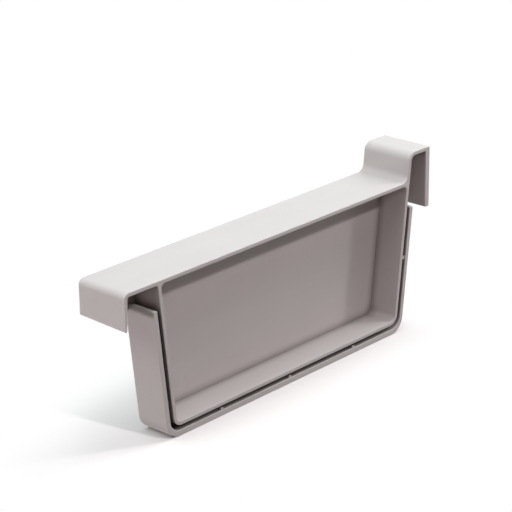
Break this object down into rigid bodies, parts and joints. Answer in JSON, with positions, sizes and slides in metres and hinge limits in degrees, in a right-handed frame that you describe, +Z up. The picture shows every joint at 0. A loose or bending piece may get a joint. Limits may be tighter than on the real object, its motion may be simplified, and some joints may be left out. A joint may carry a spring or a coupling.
{
  "type": "gutter end cap",
  "caption": "Moulded plastic end cap for a box gutter: a flat top with a front lip and a rear hook over an inner frame, an outer skirt and a closed end wall.",
  "frame": {"origin": "under the middle of the cap's overall width and depth, on the surface that the skirt's underside stands on", "axes": "+X from the front lip to the rear hook, +Y from the open side to the closed side, +Z up"},
  "size_m": [0.2204, 0.0296, 0.0956],
  "materials": {
    "grey_pvc": "satin, as moulded"
  },
  "bodies": {
    "root": {"end_cap": "grey_pvc"}
  },
  "joints": []
}
